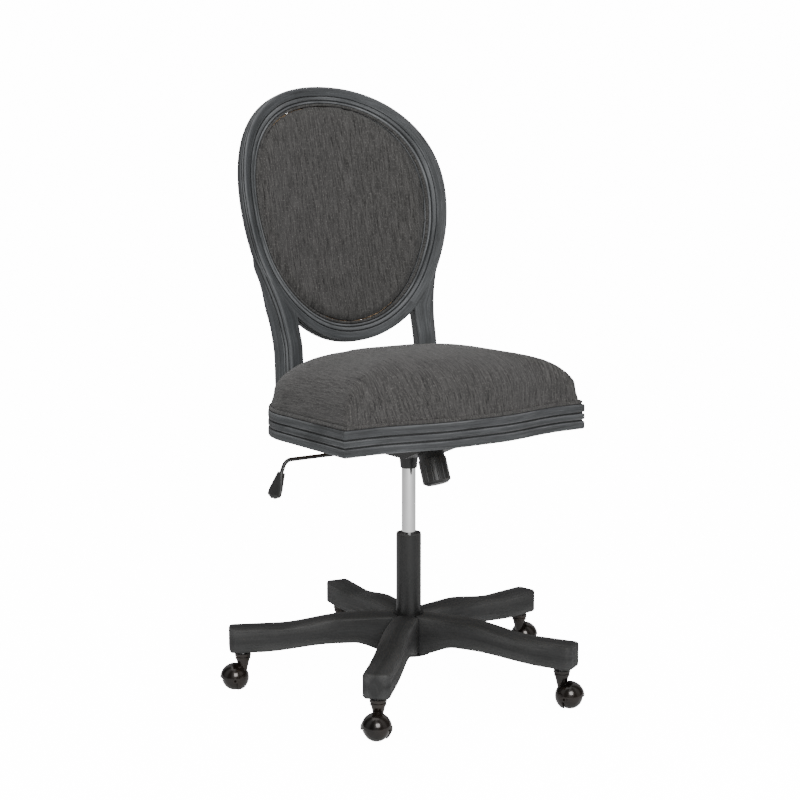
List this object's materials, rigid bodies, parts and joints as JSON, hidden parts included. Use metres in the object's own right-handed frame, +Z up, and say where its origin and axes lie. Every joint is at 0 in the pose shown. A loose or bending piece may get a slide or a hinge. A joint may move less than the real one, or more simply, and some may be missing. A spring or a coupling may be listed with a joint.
{
  "type": "swivel office chair",
  "caption": "Swivel office chair: oval upholstered back in a curved wood ring on two stiles, reeded seat frame, tilt mechanism, gas lift and a wood star base on hooded ball casters.",
  "frame": {"origin": "on the floor under the swivel axis, at the middle of the star base", "axes": "+Z up along the swivel axis, -Y out of the seat's front edge, -X towards the sitter's right hand"},
  "size_m": [0.711, 0.7102, 1.185],
  "materials": {
    "frame_wood": "weathered charcoal-grey stain over brushed open grain, matt",
    "base_wood": "darker charcoal-grey stain over brushed open grain, matt",
    "fabric": "charcoal-brown woven polyester with vertical slubs",
    "plywood": "bare plywood and softwood, hidden",
    "black_metal": "black powder coat, satin",
    "black_plastic": "black moulded plastic, fine grain",
    "chrome": "bright chrome plate",
    "steel": "zinc-plated steel",
    "bronze": "dark oil-rubbed bronze, glossy"
  },
  "bodies": {
    "base": {"base_arm_1": "base_wood", "base_arm_2": "base_wood", "base_arm_3": "base_wood", "base_arm_4": "base_wood", "base_arm_5": "base_wood", "hub_sleeve": "black_metal", "hub_plate": "black_metal", "hub_screws": "steel", "caster_sockets": "steel", "lift_tube": "black_metal", "guide_bush": "black_plastic"},
    "swivel": {"thrust_bearing": "steel", "retaining_clip": "steel", "piston_rod": "steel"},
    "lift": {"gas_cylinder": "chrome", "rod_guide": "black_plastic", "taper_socket": "black_metal", "mechanism_housing": "black_metal", "pivot_axle": "steel", "tension_collar": "black_plastic", "tension_spring": "steel", "lever_bush": "black_plastic"},
    "pin": {"release_pin": "steel"},
    "knob": {"tension_knob": "black_plastic", "tension_bolt": "steel"},
    "bar": {"tension_bar": "steel"},
    "lever": {"lever_rod": "black_metal", "lever_paddle": "black_plastic"},
    "seat": {"seat_plate": "black_metal", "plate_screws": "steel", "mechanism_board": "plywood", "front_rail": "frame_wood", "left_rail": "frame_wood", "right_rail": "frame_wood", "rear_rail": "frame_wood", "corner_blocks": "plywood", "seat_deck": "plywood", "seat_cushion": "fabric", "back_ring": "frame_wood", "left_stile": "frame_wood", "right_stile": "frame_wood", "back_panel": "plywood", "front_pad": "fabric", "rear_pad": "fabric", "stile_bolts": "steel"},
    "caster_1": {"caster_hood_1": "bronze", "caster_pins_1": "steel"},
    "ball_1": {"caster_ball_1": "bronze"},
    "caster_2": {"caster_hood_2": "bronze", "caster_pins_2": "steel"},
    "ball_2": {"caster_ball_2": "bronze"},
    "caster_3": {"caster_hood_3": "bronze", "caster_pins_3": "steel"},
    "ball_3": {"caster_ball_3": "bronze"},
    "caster_4": {"caster_hood_4": "bronze", "caster_pins_4": "steel"},
    "ball_4": {"caster_ball_4": "bronze"},
    "caster_5": {"caster_hood_5": "bronze", "caster_pins_5": "steel"},
    "ball_5": {"caster_ball_5": "bronze"}
  },
  "joints": [
    {"name": "seat_swivel", "type": "hinge", "parent": "base", "child": "swivel", "pos_m": [0, 0, 0.076], "axis": [0, 0, 1], "continuous": true},
    {"name": "seat_lift", "type": "slide", "parent": "swivel", "child": "lift", "axis": [0, 0, 1], "range_m": [-0.1, 0]},
    {"name": "seat_tilt", "type": "hinge", "parent": "lift", "child": "seat", "pos_m": [0, -0.035, 0.497], "axis": [-1, 0, 0], "range_deg": [0, 12.5], "stiffness_Nm_per_rad": 110, "springref_deg": -20.05},
    {"name": "lever_pull", "type": "hinge", "parent": "lift", "child": "lever", "pos_m": [-0.045, 0, 0.483], "axis": [0, 1, 0], "range_deg": [0, 4.5], "stiffness_Nm_per_rad": 3, "springref_deg": -2.86},
    {"name": "pin_press", "type": "slide", "parent": "lift", "child": "pin", "axis": [0, 0, -1], "range_m": [0, 0.0036]},
    {"name": "knob_turn", "type": "hinge", "parent": "lift", "child": "knob", "pos_m": [0, -0.07382, 0.47741], "axis": [0, 0.3681, 0.9298], "range_deg": [0, 1080]},
    {"name": "bar_travel", "type": "slide", "parent": "lift", "child": "bar", "axis": [0, 0.3681, 0.9298], "range_m": [0, 0.0038]},
    {"name": "caster_swivel_1", "type": "hinge", "parent": "base", "child": "caster_1", "pos_m": [0.32674, 0.05292, 0.08], "axis": [0, 0, 1], "continuous": true},
    {"name": "ball_roll_1", "type": "hinge", "parent": "caster_1", "child": "ball_1", "pos_m": [0.34352, 0.05564, 0.025], "axis": [-0.1599, 0.9871, 0], "continuous": true},
    {"name": "caster_swivel_2", "type": "hinge", "parent": "base", "child": "caster_2", "pos_m": [0.05064, 0.3271, 0.08], "axis": [0, 0, 1], "continuous": true},
    {"name": "ball_roll_2", "type": "hinge", "parent": "caster_2", "child": "ball_2", "pos_m": [0.05324, 0.3439, 0.025], "axis": [-0.9882, 0.153, 0], "continuous": true},
    {"name": "caster_swivel_3", "type": "hinge", "parent": "base", "child": "caster_3", "pos_m": [-0.29545, 0.14924, 0.08], "axis": [0, 0, 1], "continuous": true},
    {"name": "ball_roll_3", "type": "hinge", "parent": "caster_3", "child": "ball_3", "pos_m": [-0.31062, 0.1569, 0.025], "axis": [-0.4509, -0.8926, 0], "continuous": true},
    {"name": "caster_swivel_4", "type": "hinge", "parent": "base", "child": "caster_4", "pos_m": [-0.23323, -0.23487, 0.08], "axis": [0, 0, 1], "continuous": true},
    {"name": "ball_roll_4", "type": "hinge", "parent": "caster_4", "child": "ball_4", "pos_m": [-0.24521, -0.24693, 0.025], "axis": [0.7096, -0.7046, 0], "continuous": true},
    {"name": "caster_swivel_5", "type": "hinge", "parent": "base", "child": "caster_5", "pos_m": [0.1513, -0.2944, 0.08], "axis": [0, 0, 1], "continuous": true},
    {"name": "ball_roll_5", "type": "hinge", "parent": "caster_5", "child": "ball_5", "pos_m": [0.15907, -0.30952, 0.025], "axis": [0.8894, 0.4571, 0], "continuous": true}
  ],
  "couplings": [
    {"joint": "pin_press", "follows": "lever_pull", "m_per_rad": 0.045},
    {"joint": "bar_travel", "follows": "knob_turn", "m_per_rad": 0.00019894}
  ]
}
